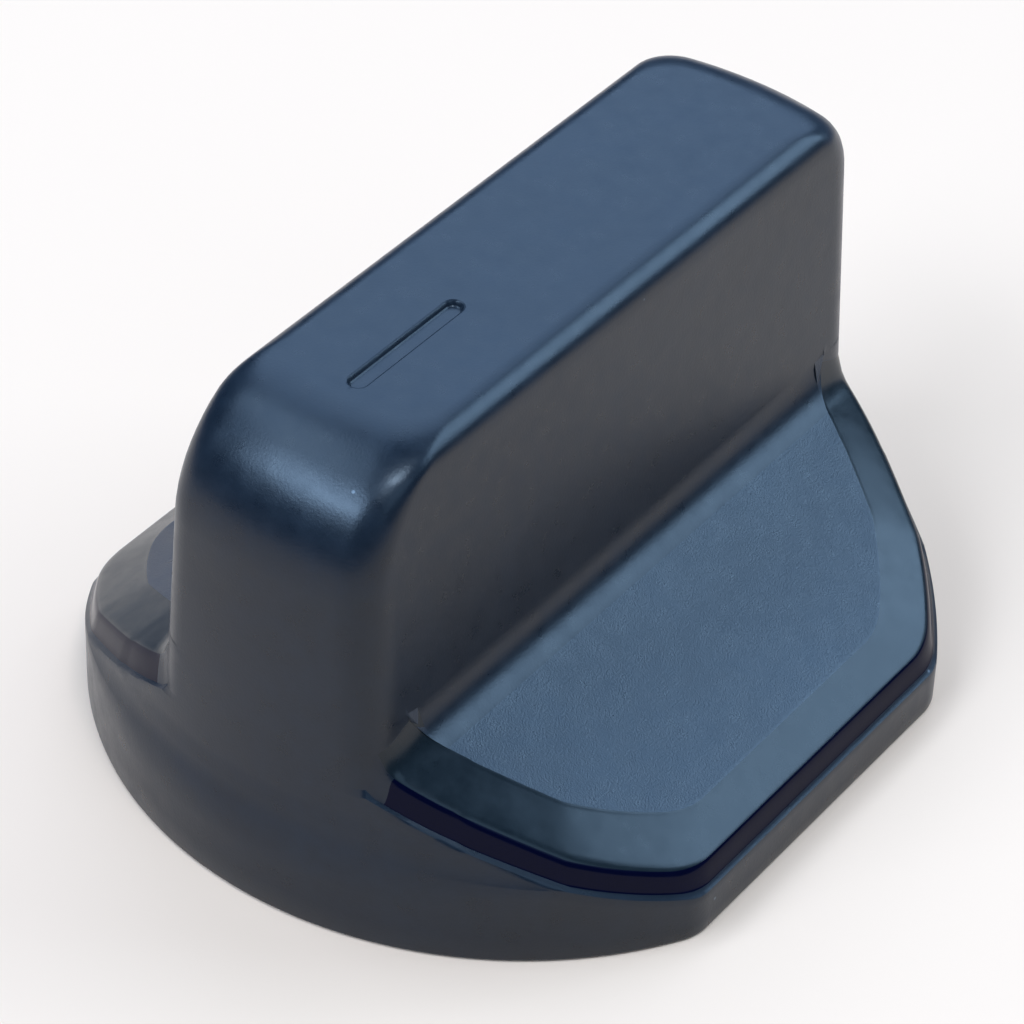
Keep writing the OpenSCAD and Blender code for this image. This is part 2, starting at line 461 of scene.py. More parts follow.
@dataclass
class KnobMoulding:
    """The knob's one moulding: outer skin, hollow inside, hub, ribs and pointer mark.

    Attributes:
        lift: least height between rings where they meet the grip, faded out in lift_steps points.
        half_z: height at which the grip's half thickness stands for the lands' join.
        touch_share: height at which the hollow meets the grip, as a share of its radius.
        arc_wider: share by which the border is wider on the round parts than on the flat.
        side_inset: length that the grip's ends keep of its sides.
        wall_rise: height of the grip's side above the hollow that the land's rings take in.
        open_w: width over which the land's rings open from even steps to their own places.
        foot_clear: points next to the grip where the polished foot turns matt.
        border: rings of the border as inset, share of the drop to the rim plane, and gloss.
    """

    form: KnobForm
    end_steps: int = 22
    arc_steps: int = 34
    corner_steps: int = 8
    flat_steps: int = 18
    join_deg: float = 17.0
    join_fade_deg: float = 9.0
    rim_round: float = 0.3
    lip_round: float = 0.26
    lift: float = 0.04
    lift_steps: int = 5
    half_z: float = 10.0
    touch_share: float = 0.507
    arc_wider: float = 0.32
    edge_fillet: float = 0.4
    side_inset: float = 0.8
    wall_rise: float = 2.2
    open_w: float = 3.0
    foot_clear: int = 2
    mark_length: float = 9.0
    mark_width: float = 1.0
    mark_depth: float = 0.3
    mark_end_y: float = -15.0
    mark_steps: int = 32
    border: tuple[tuple[float, float, Gloss], ...] = (
        (0.26, 1.0, Gloss.POLISHED_PAINTED_REFLECTION), (0.31, 0.95, Gloss.POLISHED_PAINTED_REFLECTION), (0.38, 0.82, Gloss.POLISHED_PAINTED_REFLECTION),
        (0.46, 0.66, Gloss.POLISHED_PAINTED_REFLECTION), (0.54, 0.50, Gloss.POLISHED_PAINTED_REFLECTION), (0.62, 0.39, Gloss.POLISHED_PAINTED_REFLECTION),
        (0.72, 0.325, Gloss.SATIN), (0.88, 0.28, Gloss.SATIN), (1.08, 0.25, Gloss.SATIN),
        (1.4, 0.205, Gloss.SATIN), (1.8, 0.145, Gloss.SATIN), (2.2, 0.085, Gloss.SATIN),
        (2.5, 0.035, Gloss.SATIN), (2.58, 0.02, Gloss.SATIN), (2.66, 0.0, Gloss.GRAINED),
    )
    rings: list[np.ndarray] = field(default_factory=list)
    strip_gloss: list[Gloss] = field(default_factory=list)

    def rim_radius(self, end: End, phi: float) -> tuple[float, float]:
        """Radius and height of the rim line at an angle from the grip's direction.

        Args:
            end: the end of the knob.
            phi: angle from the end's middle, in radians.

        Returns:
            Radius and height.
        """
        z = self.form.wall_h
        for _ in range(40):
            r = self.form.turned_r(end, z)
            z = 0.5 * z + 0.5 * self.form.rim_height(r * math.sin(phi))
        return self.form.turned_r(end, z), z

    def outline(self, radius: Callable[[End, float], float], half: float, corner: float,
                starts: tuple[float, float]) -> list[tuple[float, float, End]]:
        """Samples the side part of a flatted outline from the marked end to the plain end.

        Args:
            radius: gives the arc's radius from an end and an angle.
            half: distance of the flat from the axis.
            corner: radius of the rounded corner.
            starts: first angle at the marked end and at the plain end.

        Returns:
            Points with x, y and the end that they belong to.
        """
        out: list[tuple[float, float, End]] = []
        halves = []
        for end, start in zip((self.form.front, self.form.back), starts):
            cx = half - corner
            tip = 1.0
            for _ in range(4):
                near = radius(end, tip)
                cy = math.sqrt((near - corner) ** 2 - cx * cx)
                tip = math.atan2(cx, cy)
            points = []
            for i in range(self.arc_steps):
                phi = start + (tip - start) * i / self.arc_steps
                r = radius(end, phi)
                points.append((r * math.sin(phi), end.sign * r * math.cos(phi), end))
            for i in range(self.corner_steps):
                a = tip + (math.pi / 2 - tip) * i / self.corner_steps
                points.append((cx + corner * math.sin(a),
                               end.sign * (cy + corner * math.cos(a)), end))
            halves.append((points, cy))
        (front_points, front_y), (back_points, back_y) = halves
        out.extend(front_points)
        for i in range(self.flat_steps + 1):
            y = -front_y + (front_y + back_y) * i / self.flat_steps
            out.append((half, y, self.form.front if y < 0 else self.form.back))
        out.extend(reversed(back_points))
        return out

    def outer_row(self, inset: float, height: Callable[[float], float], low: bool) -> SideRow:
        """Ring on the outer wall, at a height worked out from the rim's height above it.

        Args:
            inset: distance inside the outer wall.
            height: gives the height from the rim line's height.
            low: the ring is on the lower rim, where the inset runs all round.

        Returns:
            The row.
        """
        form = self.form
        join = math.radians(self.join_deg)

        def radius(end: End, phi: float) -> float:
            r, z = self.rim_radius(end, phi)
            share = 1.0 if low else ease((phi - join) / math.radians(self.join_fade_deg))
            return form.turned_r(end, height(z)) - inset * share

        corner = form.skirt_corner - 0.5 * inset
        plan = self.outline(radius, form.flat_x - inset, corner, (join, join))
        points = []
        for x, y, end in plan:
            rim = form.rim_height(form.flat_x)
            if x < form.flat_x - 0.01:
                rim = max(rim, self.rim_radius(end, math.atan2(x, abs(y)))[1])
            points.append(np.array([x, y, height(rim)]))
        return SideRow(points, Gloss.MATT)

    def sloping_row(self, inset: float, drop_share: float, fillet: float, gloss: Gloss,
                    lowest: tuple[float, float]) -> SideRow:
        """Ring inside the rim line, on the lip, the bevel or the land's edge.

        Args:
            inset: distance inside the rim line.
            drop_share: 1 on the rim plane, 0 on the land plane.
            fillet: radius of the hollow against the grip there.
            gloss: finish of the strip above the ring.
            lowest: least height at which the ring may meet the grip, at each end.

        Returns:
            The row.
        """
        form = self.form

        def base(x: float) -> float:
            land = form.land_height(x)
            return land - drop_share * (land - form.rim_height(x))

        def touch_z(x: float) -> float:
            return base(x) + self.touch_share * fillet

        wider = 1 + self.arc_wider * min(1.0, max(0.0, inset - form.lip) / form.bevel_w)
        grip_z = touch_z(form.half_at(self.half_z))

        def radius(end: End, phi: float) -> float:
            return self.rim_radius(end, phi)[0] - inset * wider

        def off(end: End, phi: float) -> float:
            x, y = radius(end, phi) * math.sin(phi), radius(end, phi) * math.cos(phi)
            return form.off_grip(end, x, y, grip_z)

        starts = []
        for end in (form.front, form.back):
            low, high = math.radians(8.0), math.radians(32.0)
            for _ in range(50):
                middle = (low + high) / 2
                if off(end, middle) < 0:
                    low = middle
                else:
                    high = middle
            starts.append(high)
        corner_share = min(1.0, inset / form.lip)
        corner = form.skirt_corner + (form.land_corner - form.skirt_corner) * corner_share
        plan = self.outline(radius, form.flat_x - inset, corner, (starts[0], starts[1]))
        points = []
        for x, y, end in plan:
            reach = max(0.0, form.off_grip(end, x, abs(y), grip_z))
            points.append(np.array([x, y, base(x) + self.hollow_rise(reach, fillet)]))
        for index, least in ((0, lowest[0]), (-1, lowest[1])):
            lack = max(0.0, least - points[index][2])
            for i in range(self.lift_steps):
                points[i if index == 0 else -1 - i][2] += lack * (1 - i / self.lift_steps)
        return SideRow(points, gloss)

    def hollow_rise(self, reach: float, fillet: float) -> float:
        """Rise of the hollow fillet over the sloping face, at a distance from the grip's wall."""
        lean, fall = self.form.side_lean, self.form.land_fall
        lean_n, fall_n = self.form.lean_slant, self.form.fall_slant
        u = reach / fillet
        centre = 1 / lean_n
        foot = centre - fall / fall_n
        if u >= foot:
            return 0.0
        low = lean / lean_n - 1 / fall_n
        arc = lean / lean_n - math.sqrt(max(0.0, 1 - (centre - u) ** 2))
        return fillet * (arc - (low - fall * (u - foot)))

    def land_rows(self, edge: SideRow) -> list[SideRow]:
        """Rings across the land, up the hollow fillet and onto the grip's leaning side.

        Args:
            edge: the ring along the land's edge.

        Returns:
            The rows above it, the last one on the grip's side.
        """
        form = self.form
        lean, fall = form.side_lean, form.land_fall
        lean_n, fall_n = form.lean_slant, form.fall_slant
        reach = form.grip_half + lean * form.wall_h + form.fillet * lean_n
        cx = (reach - lean * (form.land_z + form.fillet * fall_n)) / (1 - lean * fall)
        cz = form.land_z + form.fillet * fall_n - fall * cx
        foot_x, top_x = cx - form.fillet * fall / fall_n, cx - form.fillet / lean_n
        foot_a, top_a = math.acos(fall / fall_n), math.atan2(lean, 1.0)
        wall_z = cz - form.fillet * math.sin(top_a)
        ends = self.side_ends(cz)
        near, far = edge.points[0], edge.points[-1]
        land_count, arc_count = 4, 8
        rows: list[list[Point]] = [[] for _ in range(land_count + arc_count + 1)]
        for point in edge.points:
            share = (point[1] - near[1]) / (far[1] - near[1])
            y_wall = -ends[0] + share * (ends[0] + ends[1])
            open_share = ease((point[0] - min(near[0], far[0])) / self.open_w)
            top_z = cz - form.fillet * lean / lean_n + self.wall_rise * (1 - open_share)
            land_len = max(0.0, point[0] - foot_x) * fall_n
            start_a = foot_a
            if point[0] < foot_x:
                start_a = math.acos(min(1.0, (cx - point[0]) / form.fillet))
            arc_len = max(0.0, start_a - top_a) * form.fillet
            wall_len = max(0.05, top_z - wall_z) * lean_n
            total = land_len + arc_len + wall_len
            marks = [min(0.15 * fall_n, land_len)]
            marks += [land_len * k / (land_count - 1) for k in range(1, land_count)]
            marks += [land_len + arc_len * k / arc_count for k in range(1, arc_count + 1)]
            marks.append(total)
            for k, mark in enumerate(marks):
                even = total * (k + 1) / len(marks)
                s = even + (mark - even) * open_share
                if s <= land_len:
                    x, z = point[0] - s / fall_n, point[2] + s * fall / fall_n
                elif s <= land_len + arc_len:
                    a = start_a - (s - land_len) / form.fillet
                    x, z = cx - form.fillet * math.cos(a), cz - form.fillet * math.sin(a)
                else:
                    z = wall_z + (s - land_len - arc_len) / lean_n
                    x = form.half_at(z)
                across = min(1.0, max(0.0, (point[0] - x) / max(point[0] - top_x, 0.01)))
                rows[k].append(np.array([x, point[1] + (y_wall - point[1]) * across, z]))
        glosses = [Gloss.GRAINED] * (land_count - 1) + [Gloss.MATT] * (arc_count + 2)
        return [SideRow(points, gloss) for points, gloss in zip(rows, glosses)]

    def side_ends(self, z: float) -> list[float]:
        """Where the straight side of the grip stops at the marked end and at the plain end."""
        return [self.form.corner_centre(end, z)[1] - self.side_inset
                for end in (self.form.front, self.form.back)]

    def grip_row(self, z: float, shares: Sequence[float]) -> SideRow:
        """Straight side ring of the grip at one height, its points at shares of its length."""
        low, high = self.side_ends(z)
        half = self.form.half_at(z)
        return SideRow([np.array([half, -low + s * (low + high), z]) for s in shares], Gloss.MATT)

    def close_ring(self, row: SideRow, on_grip: bool) -> np.ndarray:
        """Adds the two ends and the mirrored side to a side row.

        Args:
            row: the side row.
            on_grip: the ends lie on the grip's outline, not on the turned skirt.

        Returns:
            The ring's points, from the middle of the marked end round over +X.
        """
        form = self.form
        halves = []
        for end, join in ((form.front, row.points[0]), (form.back, row.points[-1])):
            z = join[2]
            part = []
            if on_grip:
                length = form.path_length(end, join[0], abs(join[1]), z)
                x, y = form.grip_path(end, z, length)
                join[0], join[1] = x, end.sign * y
            for i in range(self.end_steps):
                g = i / self.end_steps
                if on_grip:
                    x, y = form.grip_path(end, z, length * g)
                else:
                    angle = math.atan2(join[0], abs(join[1])) * g
                    r = math.hypot(join[0], join[1])
                    x, y = r * math.sin(angle), r * math.cos(angle)
                part.append(np.array([x, end.sign * y, z]))
            halves.append(part)
        front, back = halves
        mirror = np.array([-1.0, 1.0, 1.0])
        left_side = [p * mirror for p in reversed(row.points)]
        left_back = [p * mirror for p in back[1:]]
        left_front = [p * mirror for p in reversed(front[1:])]
        right = front + row.points + list(reversed(back))
        return np.array(right + left_back + left_side + left_front)

    def add_ring(self, row: SideRow, on_grip: bool) -> None:
        """Closes a row and adds it to the skin."""
        self.rings.append(self.close_ring(row, on_grip))
        self.strip_gloss.append(row.gloss)

    def lay_wall(self) -> None:
        """Lays the rings of the lower rim, the wall, the hollow blend and the lip."""
        for deg in (0, 30, 60, 90):
            inset = self.rim_round * (1 - math.sin(math.radians(deg)))
            z = self.rim_round * (1 - math.cos(math.radians(deg)))
            self.add_ring(self.outer_row(inset, lambda rim, z=z: z, True), False)

        def wall_top(rim: float) -> float:
            return min(self.form.wall_h, rim - self.lip_round)

        for share in (0.35, 0.68, 0.88):
            self.add_ring(self.outer_row(0.0, lambda rim, s=share: s * wall_top(rim), False), False)
        for share in (0.13, 0.22, 0.32, 0.42, 0.53, 0.64, 0.76, 0.88):
            self.add_ring(self.outer_row(
                0.0, lambda rim, s=share: wall_top(rim)
                + s * (rim - self.lip_round - wall_top(rim)), False), False)
        for deg in (0, 30, 60):
            inset = self.lip_round * (1 - math.cos(math.radians(deg)))
            sink = self.lip_round * (1 - math.sin(math.radians(deg)))
            self.add_ring(self.outer_row(inset, lambda rim, s=sink: rim - s, False), False)

    def lay_rings(self) -> None:
        """Lays all the rings of the outer skin, from the lower rim to the top."""
        form = self.form
        self.lay_wall()
        joins = (self.end_steps, self._far_join())
        lowest = tuple(self.rings[-1][i][2] + self.lift for i in joins)
        for inset, drop, gloss in self.border:
            fillet = self.edge_fillet + (form.fillet - self.edge_fillet) * (1 - drop) ** 1.5
            edge = self.sloping_row(inset, drop, fillet, gloss, lowest)
            self.add_ring(edge, True)
            lowest = tuple(edge.points[i][2] + self.lift for i in (0, -1))
        for row in self.land_rows(edge):
            self.add_ring(row, True)
        length = edge.points[-1][1] - edge.points[0][1]
        shares = [(p[1] - edge.points[0][1]) / length for p in edge.points]
        heights = [16.6, 17.8, 19.1, 20.4]
        for radius, angles in ((form.front.rounding, (0, 6, 12, 18, 24, 30, 36, 42, 47)),
                               (form.edge_round, (8, 16, 24, 32, 40, 48, 56, 64, 72, 80, 86, 90))):
            start = form.height - radius
            heights += [start + radius * math.sin(math.radians(deg)) for deg in angles]
        for z in heights:
            self.add_ring(self.grip_row(z, shares), True)
        for inset in (0.25, 0.8):
            ring = self.rings[-1].copy()
            ring[:, :2] *= 1 - inset / np.abs(ring[:, :2]).max(axis=0)
            self.rings.append(ring)
            self.strip_gloss.append(Gloss.MATT)

    def _far_join(self) -> int:
        """Place in a ring of the point where the +X side meets the plain end."""
        return self.end_steps + 2 * (self.arc_steps + self.corner_steps) + self.flat_steps

    def skin(self) -> bpy.types.Object:
        """Joins the rings into one closed mesh with the four finishes."""
        self.lay_rings()
        count = len(self.rings[0])
        bm = bmesh.new()
        verts = [[bm.verts.new(Vector(p) * MM) for p in ring] for ring in self.rings]
        first, last = self.end_steps, self._far_join()
        left = last + 2 * self.end_steps
        slots = list(Gloss)
        for k in range(len(verts) - 1):
            for i in range(count):
                j = (i + 1) % count
                face = bm.faces.new((verts[k][i], verts[k][j], verts[k + 1][j], verts[k + 1][i]))
                along = i - first if i < last else i - left
                gloss = self.strip_gloss[k] if 0 <= along < last - first else Gloss.MATT
                near_grip = min(along, last - first - 1 - along) < self.foot_clear
                if gloss is Gloss.POLISHED_PAINTED_REFLECTION and near_grip:
                    gloss = Gloss.MATT
                face.material_index = slots.index(gloss)
        bm.faces.new(list(reversed(verts[0])))
        bm.faces.new(verts[-1])
        log.info("knob_moulding skin: %d rings of %d points", len(self.rings), count)
        return new_object("knob_moulding", bm)

    def hollow_out(self, body: bpy.types.Object) -> None:
        """Cuts the room inside round the hub and the ribs, then the socket, slots and ring seat."""
        hub = HubSizes()
        form = self.form
        wall, over = form.wall, hub.overrun
        top = form.height - wall
        roof = form.land_z - wall * math.hypot(1, form.land_fall)
        slot_top = hub.recess + hub.slot_length
        room = Solid.prism("skirt_room", flatted(form.skirt_r - wall, form.flat_x - wall,
                                                 hub.room_corner), -over, lambda x: hub.rib_z)
        room.join(Solid.prism("land_room", flatted(form.skirt_r - hub.room_inset,
                                                   form.flat_x - wall, hub.room_corner),
                              -over, lambda x: roof - form.land_fall * abs(x)))
        room.join(self._grip_room(hub, top))
        ribs = Solid.prism("long_rib", box_plan(hub.rib / 2, form.front.radius - wall / 2),
                           hub.rib_z, lambda x: top - form.front.rounding)
        ribs.join(Solid.prism("cross_rib", box_plan(form.flat_x - wall / 2, hub.rib / 2),
                              hub.rib_z, form.rim_height))
        ribs.cut(Solid.prism("finger_room", circle(hub.outer_r + hub.finger_gap), 0.0,
                             lambda x: slot_top))
        ribs.join(Solid.prism("hub", circle(hub.outer_r), hub.recess, lambda x: top + 2 * over))
        room.cut(ribs)
        carved = Solid(body)
        carved.cut(room)
        carved.cut(Solid.prism("socket", self._socket_plan(hub), hub.recess - over,
                               lambda x: hub.recess + hub.depth))
        ring_low = hub.recess + hub.ring_z
        seat = Solid.prism("ring_seat", circle(hub.outer_r + over), ring_low - hub.clearance,
                           lambda x: ring_low + hub.ring_width + hub.clearance)
        seat.cut(Solid.prism("ring_core", circle(hub.outer_r - hub.ring - hub.clearance), 0.0,
                             lambda x: slot_top + over))
        carved.cut(seat)
        carved.cut(Solid.prism("slots", box_plan(hub.outer_r + over, hub.slot / 2), 0.0,
                               lambda x: slot_top))

    def _grip_room(self, hub: "HubSizes", top: float) -> "Solid":
        """Room inside the grip, its sides leaning like the grip's, rounded at the top."""
        form = self.form
        most = form.front.radius - form.wall - form.front.lean
        rings = []
        for z in (-hub.overrun, form.wall_h, 10.0, 15.0, 19.0, 21.0, 22.5, 23.8, 24.8, 25.5, top):
            level = max(z, form.wall_h)
            half = form.grip_half - form.side_lean * (level - form.wall_h) - form.wall
            ring: list[tuple[float, float, float]] = []
            for end in (form.front, form.back):
                reach = form.end_at(end, min(level + form.wall, form.height - 0.4)) - form.wall
                reach = min(reach, most)
                part = [(half - dx, end.sign * (reach - dy), z) for dx, dy in hub.room_cut]
                part += [(-x, y, z) for x, y, _ in reversed(part)]
                ring += part if end.sign > 0 else reversed(part)
            rings.append(ring)
        return Solid.loft("grip_room", rings)

    def _socket_plan(self, hub: "HubSizes") -> list[tuple[float, float]]:
        """D outline of the socket, its flat towards the marked end."""
        flat_y = -(hub.flat - hub.spindle / 2 + hub.clearance)
        r = hub.spindle / 2 + hub.clearance
        start = math.asin(flat_y / r)
        sweep = math.pi - 2 * start
        angles = [start + sweep * i / hub.socket_steps for i in range(hub.socket_steps + 1)]
        return [(r * math.cos(a), r * math.sin(a)) for a in angles]

    def press_mark(self, body: bpy.types.Object) -> None:
        """Sinks the pointer mark into the top, its edge a little rounded."""
        half = self.mark_width / 2
        depth = self.mark_depth
        profile = [(-depth, -0.14), (0.05 - depth, -0.06), (0.13 - depth, -0.02), (-0.09, 0.02),
                   (-0.03, 0.07), (0.0, 0.15), (0.2, 0.16)]
        ends = (self.mark_end_y + self.mark_length - half, self.mark_end_y + half)
        rings = []
        for z, wider in profile:
            r = half + wider
            ring = []
            for side, y in enumerate(ends):
                for i in range(self.mark_steps + 1):
                    a = math.pi * (side - 0.5 + i / self.mark_steps)
                    ring.append((-r * math.sin(a), y + r * math.cos(a), self.form.height + z))
            rings.append(ring)
        Solid(body).cut(Solid.loft("mark_cut", rings))

    def build(self) -> bpy.types.Object:
        """Builds the whole moulding with its materials."""
        body = self.skin()
        finishes = (
            MouldedPlastic(Gloss.MATT, "10171f", "18222d", 0.3, 0.37, 0.006),
            MouldedPlastic(Gloss.GRAINED, "18212b", "222f3c", 0.3, 0.43, 0.02, grain_mm=0.1),
            MouldedPlastic(Gloss.SATIN, "11181c", "192227", 0.22, 0.32, 0.0),
            # Polished foot: darker navy pigment and weak shine, a painted dark reflection, dark
            # whatever lies round it.
            MouldedPlastic(Gloss.POLISHED_PAINTED_REFLECTION, "020418", "04061e", 0.13, 0.1, 0.0),
        )
        for finish in finishes:
            body.data.materials.append(finish.material())
        self.hollow_out(body)
        self.press_mark(body)
        finish_shading(body)
        log.info("knob_moulding: %d faces", len(body.data.polygons))
        return body


@dataclass(frozen=True)
class HubSizes:
    """Sizes of the hub, its socket for an 8 mm flatted spindle, and the ribs, in millimetres."""

    spindle: float = 8.0
    flat: float = 6.5
    depth: float = 15.0
    outer_r: float = 6.5
    recess: float = 1.0
    slot: float = 1.4
    slot_length: float = 6.5
    ring: float = 0.7
    ring_width: float = 3.6
    ring_z: float = 1.2
    rib: float = 1.4
    rib_z: float = 1.6
    clearance: float = 0.05
    finger_gap: float = 1.75
    room_corner: float = 2.0
    room_inset: float = 4.1
    room_cut: tuple[tuple[float, float], ...] = ((0.0, 1.2), (0.35, 0.35), (1.2, 0.0))
    socket_steps: int = 60
    overrun: float = 1.0


def circle(r: float, steps: int = 96) -> list[tuple[float, float]]:
    """Plan of a circle round the axis."""
    angles = [2 * math.pi * i / steps for i in range(steps)]
    return [(r * math.cos(a), r * math.sin(a)) for a in angles]


def box_plan(half_x: float, half_y: float) -> list[tuple[float, float]]:
    """Plan of a rectangle centred on the axis, with points where it crosses the middle plane."""
    return [(half_x, -half_y), (half_x, half_y), (0.0, half_y), (-half_x, half_y),
            (-half_x, -half_y), (0.0, -half_y)]


def flatted(r: float, half: float, corner: float) -> list[tuple[float, float]]:
    """Plan of a circle cut by two flats, with rounded corners.

    Args:
        r: radius of the round ends.
        half: distance of the flats from the axis.
        corner: radius of the corners.

    Returns:
        The points, anticlockwise.
    """
    cx = half - corner
    cy = math.sqrt((r - corner) ** 2 - cx * cx)
    tip = math.atan2(cy, cx)
    turns = [tip * i / 6 for i in range(7)]
    quarter = [(half, 0.0)] + [(cx + corner * math.cos(a), cy + corner * math.sin(a)) for a in turns]
    turns = [tip + (math.pi / 2 - tip) * i / 20 for i in range(1, 20)]
    quarter += [(r * math.cos(a), r * math.sin(a)) for a in turns]
    upper = quarter + [(0.0, r)] + [(-x, y) for x, y in reversed(quarter)]
    return upper + [(x, -y) for x, y in reversed(upper[1:-1])]


class Solid:
    """A closed mesh that can be joined with others and cut by them."""

    def __init__(self, obj: bpy.types.Object) -> None:
        """Wraps an object."""
        self.obj = obj

    @classmethod
    def loft(cls, name: str, rings: Sequence[Sequence[tuple[float, float, float]]]) -> "Solid":
        """Closed form through rings of the same number of points, from the lowest to the highest.

        Args:
            name: name of the object.
            rings: points in millimetres, anticlockwise seen from above.

        Returns:
            The solid.
        """
        bm = bmesh.new()
        verts = [[bm.verts.new(Vector(p) * MM) for p in ring] for ring in rings]
        count = len(verts[0])
        for low, high in zip(verts, verts[1:]):
            for i in range(count):
                j = (i + 1) % count
                bm.faces.new((low[i], low[j], high[j], high[i]))
        bm.faces.new(list(reversed(verts[0])))
        bm.faces.new(verts[-1])
        return cls._finish(name, bm)

    @classmethod
    def prism(cls, name: str, plan: Sequence[tuple[float, float]], low: float,
              roof: Callable[[float], float]) -> "Solid":
        """Upright prism whose roof may slope down to both sides of the middle plane.

        Args:
            name: name of the object.
            plan: outline, anticlockwise.
            low: height of its flat underside.
            roof: gives the roof's height at x.

        Returns:
            The solid.
        """
        bm = bmesh.new()
        lower = [bm.verts.new(Vector((x, y, low)) * MM) for x, y in plan]
        upper = [bm.verts.new(Vector((x, y, roof(x))) * MM) for x, y in plan]
        count = len(plan)
        for i in range(count):
            j = (i + 1) % count
            bm.faces.new((lower[i], lower[j], upper[j], upper[i]))
        bm.faces.new(list(reversed(lower)))
        ridge = [i for i, (x, _) in enumerate(plan) if abs(x) < 1e-9]
        if len(ridge) == 2 and abs(roof(0.0) - roof(plan[0][0])) > 1e-6:
            a, b = ridge
            bm.faces.new([upper[i] for i in range(a, b + 1)])
            bm.faces.new([upper[i % count] for i in range(b, a + count + 1)])
        else:
            bm.faces.new(upper)
        return cls._finish(name, bm)

    @classmethod
    def _finish(cls, name: str, bm: bmesh.types.BMesh) -> "Solid":
        """Turns a mesh in the making into an object."""
        bmesh.ops.recalc_face_normals(bm, faces=bm.faces)
        return cls(new_object(name, bm))

    def _combine(self, other: "Solid", operation: str) -> None:
        """Runs one boolean and drops the other solid."""
        modifier = self.obj.modifiers.new("combine", "BOOLEAN")
        modifier.object = other.obj
        modifier.operation = operation
        modifier.solver = "EXACT"
        bpy.context.view_layer.update()
        graph = bpy.context.evaluated_depsgraph_get()
        mesh = bpy.data.meshes.new_from_object(self.obj.evaluated_get(graph))
        self.obj.modifiers.remove(modifier)
        old = self.obj.data
        mesh.name = old.name
        self.obj.data = mesh
        bpy.data.meshes.remove(old)
        bpy.data.objects.remove(other.obj)

    def join(self, other: "Solid") -> None:
        """Adds another solid."""
        self._combine(other, "UNION")

    def cut(self, other: "Solid") -> None:
        """Cuts another solid away."""
        self._combine(other, "DIFFERENCE")


def finish_shading(obj: bpy.types.Object, sharp_deg: float = 24.0, flat_deg: float = 2.0,
                   broad_mm2: float = 20.0) -> None:
    """Merges stray points, closes slits, shades smooth and keeps the crisp edges.

    Args:
        obj: the mesh object.
        sharp_deg: angle from which an edge stays crisp.
        flat_deg: the same angle for the edges of a broad face.
        broad_mm2: area from which a face is broad.
    """
    bm = bmesh.new()
    bm.from_mesh(obj.data)
    bmesh.ops.remove_doubles(bm, verts=bm.verts, dist=0.002 * MM)
    bmesh.ops.dissolve_degenerate(bm, edges=bm.edges, dist=0.001 * MM)
    loose = [edge for edge in bm.edges if not edge.link_faces]
    bmesh.ops.delete(bm, geom=loose, context="EDGES")
    slits = [edge for edge in bm.edges if len(edge.link_faces) == 1]
    bmesh.ops.holes_fill(bm, edges=slits, sides=4)
    for face in bm.faces:
        face.smooth = True
    for edge in bm.edges:
        broad = any(face.calc_area() > broad_mm2 * MM * MM for face in edge.link_faces)
        limit = math.radians(flat_deg if broad else sharp_deg)
        edge.smooth = len(edge.link_faces) == 2 and edge.calc_face_angle(0.0) < limit
    bm.to_mesh(obj.data)
    bm.free()


@dataclass
class SpringRing:
    """The spring steel band round the hub's fingers: the frame's own solid in its metal."""

    finish: SpringSteel = field(default_factory=SpringSteel)

    def dress(self, node: bpy.types.Object) -> None:
        """Gives the CAD node its material."""
        node.data.materials.clear()
        node.data.materials.append(self.finish.material())
        log.info("spring_ring: dressed")


@dataclass(frozen=True)
class Lamp:
    """One soft rectangular lamp that faces the knob.

    Attributes:
        name: name of the lamp.
        toward: direction from the knob to the lamp.
        size: width and height in metres.
        radiance: brightness of its face, 1 being white.
        colour: sRGB hex of its light.
    """

    name: str
    toward: tuple[float, float, float]
    size: tuple[float, float]
    radiance: float
    colour: str


